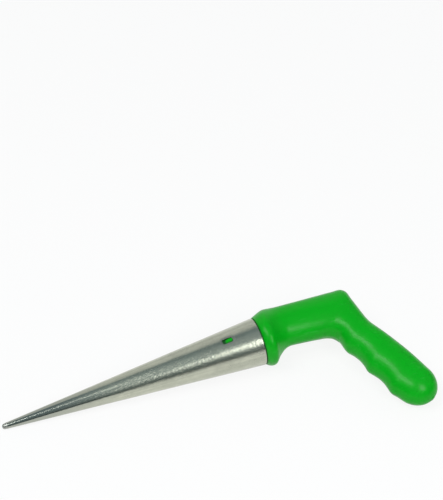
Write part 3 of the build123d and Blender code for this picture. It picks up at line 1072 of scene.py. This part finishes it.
@dataclass(frozen=True)
class Grip:
    """Moulded pistol grip: its halves and what shows on them. All sizes are in metres."""

    tool: ToolFrame
    bend: float = 64.7
    outer_side: float = 0.05
    crook_swell: Swell = Swell(56.0 * MM, -13.5 * MM, 8.0 * MM, 1.5 * MM)
    same_place: float = 0.001 * MM
    middle_normal: float = -0.999
    middle_reach: float = 0.01 * MM
    clear_of_rim: float = 1.5 * MM
    seam_half_width: float = 0.24 * MM
    seam_height: float = 0.06 * MM
    seam_root: float = 0.12 * MM
    seam_step: float = 0.8 * MM
    seam_profile: tuple[Span, ...] = (
        (-1.0, -1.0), (-0.75, 0.0), (-0.35, 0.8), (0.0, 1.0), (0.35, 0.8), (0.75, 0.0), (1.0, -1.0)
    )
    gate_radius: float = 2.3 * MM
    gate_height: float = 0.25 * MM
    gate_spokes: int = 32
    gate_profile: tuple[Span, ...] = (
        (1.0, -1.4), (0.97, 0.1), (0.86, 0.55), (0.74, 0.6), (0.68, 0.2), (0.5, 0.2), (0.44, 0.9), (0.3, 1.0)
    )
    end_reach: float = 0.02 * MM

    def half_piece(self, name: str, node: str, side: float, material: bpy.types.Material) -> bpy.types.Object:
        """Moulded half with a fuller side by the crook, in place of the plain half.

        Args:
            name: Name of the piece.
            node: The half that it stands for.
            side: 1 for the left half and -1 for the right one.
            material: Its finish.

        Returns:
            The piece.
        """
        data = frame["nodes"][node].data.copy()
        data.name = name
        to_row = self.tool.matrix.to_3x3()
        to_tool = to_row.transposed()
        normals = [to_tool @ corner.vector for corner in data.corner_normals]
        outward: dict[tuple[float, ...], float] = {}
        for vertex in data.vertices:
            place = tuple(vertex.co)
            outward[place] = min(side * (to_tool @ vertex.normal).z, outward.get(place, 1.0))
        slopes: dict[int, Vector] = {}
        for vertex in data.vertices:
            point = self.tool.to_tool(vertex.co)
            rise = self.crook_swell.rise(point)
            if outward[tuple(vertex.co)] > self.outer_side and rise > self.crook_swell.least:
                slopes[vertex.index] = side * self.crook_swell.slope(point)
                vertex.co += to_row @ Vector((0.0, 0.0, side * rise))
        for loop in data.loops:
            slope = slopes.get(loop.vertex_index)
            if slope is not None:
                normal = normals[loop.index]
                normals[loop.index] = (normal - slope * (normal.z / (1.0 + slope.z))).normalized()
        data.normals_split_custom_set([to_row @ normal for normal in normals])
        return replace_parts(show(data, Slot.PLASTIC, material), node)

    def on_middle_plane(self, face: bmesh.types.BMFace) -> bool:
        """Whether a face of the left half lies where the halves meet."""
        near = abs(face.calc_center_median().z) < self.middle_reach
        return face.normal.z < self.middle_normal and near

    def outline(self) -> list[Vector]:
        """Outline of the left half where it meets the right half, outside the cone.

        Returns:
            Points in the tool's frame, from the collar's spine side round the grip to its lower side.
        """
        mesh = bmesh.new()
        mesh.from_mesh(frame["nodes"]["handle_left_half"].data)
        bmesh.ops.remove_doubles(mesh, verts=mesh.verts, dist=self.same_place)
        mesh.transform(self.tool.matrix.inverted())
        mesh.normal_update()
        links: dict[int, list[int]] = {}
        places: dict[int, Vector] = {}
        for edge in mesh.edges:
            if sum(self.on_middle_plane(face) for face in edge.link_faces) != 1:
                continue
            for one, two in (edge.verts, reversed(edge.verts)):
                links.setdefault(one.index, []).append(two.index)
                places[one.index] = one.co.copy()
        mesh.free()
        start = max(places, key=lambda index: places[index].x)
        loop = [start]
        while True:
            following = [k for k in links[loop[-1]] if k not in loop[-2:]]
            if not following or following[0] == start:
                break
            loop.append(following[0])
        points = [places[index] for index in loop]
        inside = [k for k, point in enumerate(points) if point.x < self.clear_of_rim]
        opened = points[inside[-1] + 1:] + points[: inside[0]]
        return opened if opened[0].y > opened[-1].y else list(reversed(opened))

    def even(self, points: list[Vector]) -> list[Vector]:
        """Points at even steps along a line.

        Args:
            points: The line's own points.

        Returns:
            Points one seam step apart, and the line's last point.
        """
        placed = [points[0]]
        carried = 0.0
        for one, two in zip(points, points[1:]):
            length = (two - one).length
            while carried + length >= self.seam_step:
                one = one.lerp(two, (self.seam_step - carried) / length)
                length = (two - one).length
                carried = 0.0
                placed.append(one)
            carried += length
        return placed + [points[-1]]

    def seam_piece(self, material: bpy.types.Material) -> bpy.types.Object:
        """Fine raised line where the two moulded halves meet.

        Args:
            material: Its finish.

        Returns:
            The piece.
        """
        points = self.even(self.outline())
        mesh = bmesh.new()
        rings = []
        for k, point in enumerate(points):
            run = points[min(k + 1, len(points) - 1)] - points[max(k - 1, 0)]
            outward = Vector((-run.y, run.x, 0.0)).normalized()
            ring = []
            for side, rise in self.seam_profile:
                lift = rise * (self.seam_height if rise > 0.0 else self.seam_root)
                place = point + outward * lift + Vector((0.0, 0.0, side * self.seam_half_width))
                ring.append(mesh.verts.new(self.tool.to_row(place)))
            rings.append(ring)
        bridge(mesh, rings)
        return show(smooth_mesh("grip_moulding_line", mesh), Slot.PLASTIC, material)

    def gate_piece(self, material: bpy.types.Material) -> bpy.types.Object:
        """Trimmed stub at the end of the grip where the plastic entered the mould.

        Args:
            material: Its finish.

        Returns:
            The piece.
        """
        angle = math.radians(self.bend)
        along = Vector((math.cos(angle), -math.sin(angle), 0.0))
        points = []
        for name in ("handle_left_half", "handle_right_half"):
            points += [self.tool.to_tool(vertex.co) for vertex in frame["nodes"][name].data.vertices]
        reach = max(point.dot(along) for point in points)
        flat = [point for point in points if point.dot(along) > reach - self.end_reach]
        middle = sum(flat, Vector()) / len(flat)
        across = along.cross(Vector((0.0, 0.0, 1.0)))
        mesh = bmesh.new()
        rings = []
        for share, rise in self.gate_profile:
            ring = []
            for spoke in steps(0.0, FULL_TURN, self.gate_spokes):
                out = across * math.cos(spoke) + Vector((0.0, 0.0, math.sin(spoke)))
                place = middle + out * (share * self.gate_radius) + along * (rise * self.gate_height)
                ring.append(mesh.verts.new(self.tool.to_row(place)))
            rings.append(ring)
        bridge(mesh, rings)
        return show(smooth_mesh("grip_gate_mark", mesh), Slot.PLASTIC, material)


def direction(azimuth: float, elevation: float) -> Vector:
    """Unit vector towards a place in the studio: azimuth 0 is -Y and 90 is +X, in degrees."""
    turn, rise = math.radians(azimuth), math.radians(elevation)
    return Vector((math.sin(turn) * math.cos(rise), -math.cos(turn) * math.cos(rise), math.sin(rise)))


@dataclass(frozen=True)
class Panel:
    """Soft light panel that faces the tool; a fill panel is not mirrored in glossy surfaces."""

    name: str
    azimuth: float
    elevation: float
    distance: float
    width: float
    height: float
    radiance: float
    mirrored: bool = True

    def hang(self, target: Vector) -> bpy.types.Object:
        """Make the panel and point it at a target.

        Args:
            target: Place that the panel faces.

        Returns:
            The lamp.
        """
        light = bpy.data.lights.new(self.name, "AREA")
        light.shape = "RECTANGLE"
        light.size, light.size_y = self.width, self.height
        light.energy = self.radiance * math.pi * self.width * self.height
        lamp = bpy.data.objects.new(self.name, light)
        towards = direction(self.azimuth, self.elevation)
        lamp.location = target + towards * self.distance
        lamp.rotation_mode = "QUATERNION"
        lamp.rotation_quaternion = (-towards).to_track_quat("-Z", "Y")
        lamp.visible_camera = False
        lamp.visible_glossy = self.mirrored
        bpy.context.scene.collection.objects.link(lamp)
        return lamp


@dataclass(frozen=True)
class Studio:
    """Pale floor, soft light and the camera. Angles are in degrees and sizes in metres."""

    floor_size: float = 12.0
    floor_colour: Colour = (0.80, 0.80, 0.79)
    floor_lift: float = 0.87
    ceiling: Colour = (0.185, 0.245, 0.275)
    skirting: Colour = (0.075, 0.095, 0.095)
    ceiling_rise: Span = (0.05, 0.75)
    back: Colour = (0.74, 0.75, 0.75)
    back_azimuth: float = 180.0
    back_elevation: float = 10.0
    back_edge: Span = (0.60, 0.78)
    aim: Triple = (0.0635, 0.1579, 0.0)
    azimuth: float = -22.285
    elevation: float = 43.574
    roll: float = 1.525
    distance: float = 1.6365
    lens: float = 146.19
    sensor: float = 36.0
    panels: tuple[Panel, ...] = (
        Panel("front softbox", 20.3, 43.8, 1.3, 0.47, 0.54, 6.9),
        Panel("middle strip", -60.0, 60.0, 1.6, 0.50, 0.50, 6.6),
        Panel("long strip", -4.0, 61.0, 1.3, 0.13, 2.2, 0.18),
        Panel("left panel", -92.0, 57.0, 1.7, 0.66, 0.64, 6.2),
        Panel("front fill", -22.0, 28.0, 2.0, 2.4, 1.2, 0.62, mirrored=False),
        Panel("right fill", 90.0, 35.0, 2.0, 1.6, 1.4, 0.85, mirrored=False),
        Panel("top fill", 0.0, 85.0, 2.0, 1.6, 1.6, 0.42, mirrored=False),
    )

    def lay_floor(self) -> None:
        """Wide pale floor under the tool, lifted towards white for the eye and in the metal."""
        half = self.floor_size * 0.5
        corners = [(-half, -half, 0), (half, -half, 0), (half, half, 0), (-half, half, 0)]
        mesh = bpy.data.meshes.new("floor")
        mesh.from_pydata(corners, [], [range(len(corners))])
        floor = bpy.data.objects.new("floor", mesh)
        bpy.context.scene.collection.objects.link(floor)
        material = bpy.data.materials.new("pale floor")
        material.use_nodes = True
        bench = NodeBench(material.node_tree)
        bench.tree.nodes.clear()
        matt = bench.feed(bench.add("ShaderNodeBsdfDiffuse"), Color=opaque(self.floor_colour))
        glow = bench.feed(bench.add("ShaderNodeEmission"), Color=opaque(WHITE), Strength=1.0)
        path = bench.add("ShaderNodeLightPath").outputs
        seen = bench.maths("MAXIMUM", path["Is Camera Ray"], path["Is Glossy Ray"])
        share = bench.maths("MULTIPLY", seen, self.floor_lift)
        shaders = (share, matt.outputs["BSDF"], glow.outputs["Emission"])
        both = bench.put_all(bench.add("ShaderNodeMixShader"), shaders)
        bench.feed(bench.add("ShaderNodeOutputMaterial"), Surface=both.outputs["Shader"])
        mesh.materials.append(material)

    def light_room(self) -> None:
        """Room around the tool: pale behind it, dark overhead, and white to the eye."""
        world = bpy.data.worlds.new("studio room")
        bpy.context.scene.world = world
        world.use_nodes = True
        bench = NodeBench(world.node_tree)
        bench.tree.nodes.clear()
        place = bench.add("ShaderNodeTexCoord").outputs["Generated"]
        back = direction(self.back_azimuth, self.back_elevation)
        behind = bench.vector_maths("DOT_PRODUCT", place, back).outputs["Value"]
        share = bench.spread(behind, self.back_edge, RISING)
        rise = bench.spread(bench.parts(place)["Z"], self.ceiling_rise, RISING)
        front = bench.blend(rise, opaque(self.skirting), opaque(self.ceiling))
        room = bench.blend(share, front, opaque(self.back))
        eye = bench.add("ShaderNodeLightPath").outputs["Is Camera Ray"]
        seen = bench.blend(eye, room, opaque(WHITE))
        ground = bench.feed(bench.add("ShaderNodeBackground"), Color=seen, Strength=1.0)
        bench.feed(bench.add("ShaderNodeOutputWorld"), Surface=ground.outputs["Background"])

    def place_camera(self) -> None:
        """Camera at the photograph's viewing angle."""
        data = bpy.data.cameras.new("camera")
        data.sensor_width = self.sensor
        data.lens = self.lens
        camera = bpy.data.objects.new("camera", data)
        back = direction(self.azimuth, self.elevation)
        camera.location = Vector(self.aim) + back * self.distance
        camera.rotation_mode = "QUATERNION"
        level = (-back).to_track_quat("-Z", "Y")
        camera.rotation_quaternion = level @ Quaternion((0.0, 0.0, 1.0), math.radians(self.roll))
        bpy.context.scene.collection.objects.link(camera)
        bpy.context.scene.camera = camera

    def set_up(self) -> None:
        """Build the whole studio."""
        bpy.context.scene.view_settings.view_transform = "Standard"
        self.lay_floor()
        self.light_room()
        for panel in self.panels:
            panel.hang(Vector((0.0, 0.0, 0.0)))
        self.place_camera()


def main() -> None:
    """Build every piece, dress it and set up the studio."""
    logging.basicConfig(level=logging.INFO, format="%(message)s")
    Studio().set_up()
    tool = ToolFrame.read(frame["record"], Cone.length)
    cone, grip = Cone(tool), Grip(tool)
    sheet = ZincFinish(
        name="galvanised sheet",
        bright=(0.57, 0.59, 0.48),
        dull=(0.41, 0.43, 0.35),
        smooth=0.22,
        rough=0.28,
        pebble_depth=0.075 * MM,
        spangle=0.25,
        streak_share=0.7,
        scratch_amount=0.5,
        # Darker tint near the nose, partly painted shade.
        rubbed_and_shaded_tint=(0.40, 0.42, 0.365),
    ).make(tool)
    weld = ZincFinish(
        name="weld bead",
        bright=(0.52, 0.52, 0.49),
        dull=(0.36, 0.37, 0.35),
        smooth=0.36,
        rough=0.5,
        pebble_depth=0.02 * MM,
        spangle=0.2,
        streak_share=0.3,
        scratch_amount=0.2,
        rubbed_and_shaded_tint=(0.42, 0.43, 0.41),
    ).make(tool)
    nose = ZincFinish(
        name="nose steel",
        bright=(0.46, 0.47, 0.43),
        dull=(0.32, 0.33, 0.30),
        smooth=0.44,
        rough=0.58,
        pebble_depth=0.012 * MM,
        spangle=0.1,
        streak_share=0.6,
        scratch_amount=0.9,
        rubbed_and_shaded_tint=(0.37, 0.385, 0.35),
    ).make(tool)
    plastic = PlasticFinish(
        name="green plastic",
        body=(0.0, 0.341, 0.006),
        pale=(0.0, 0.361, 0.008),
        scuffed=(0.05, 0.45, 0.07),
        roughness=0.31,
        specular=0.19,
        scuff_amount=0.25,
        # Painted shade colour for the gaps at the rim and beside the lugs.
        painted_shade_colour=(0.006, 0.072, 0.012),
        line_radius=cone.rim_radius,
        line_slope=cone.slope,
    ).make(tool)
    cone.sheet_piece(sheet)
    cone.bead_piece(weld)
    dress_node("cone_point", nose)
    grip.half_piece("grip_left_half", "handle_left_half", 1.0, plastic)
    grip.half_piece("grip_right_half", "handle_right_half", -1.0, plastic)
    for name in ("latch_left", "latch_right"):
        dress_node(name, plastic)
    grip.seam_piece(plastic)
    grip.gate_piece(plastic)


if __name__ == "__main__":
    main()
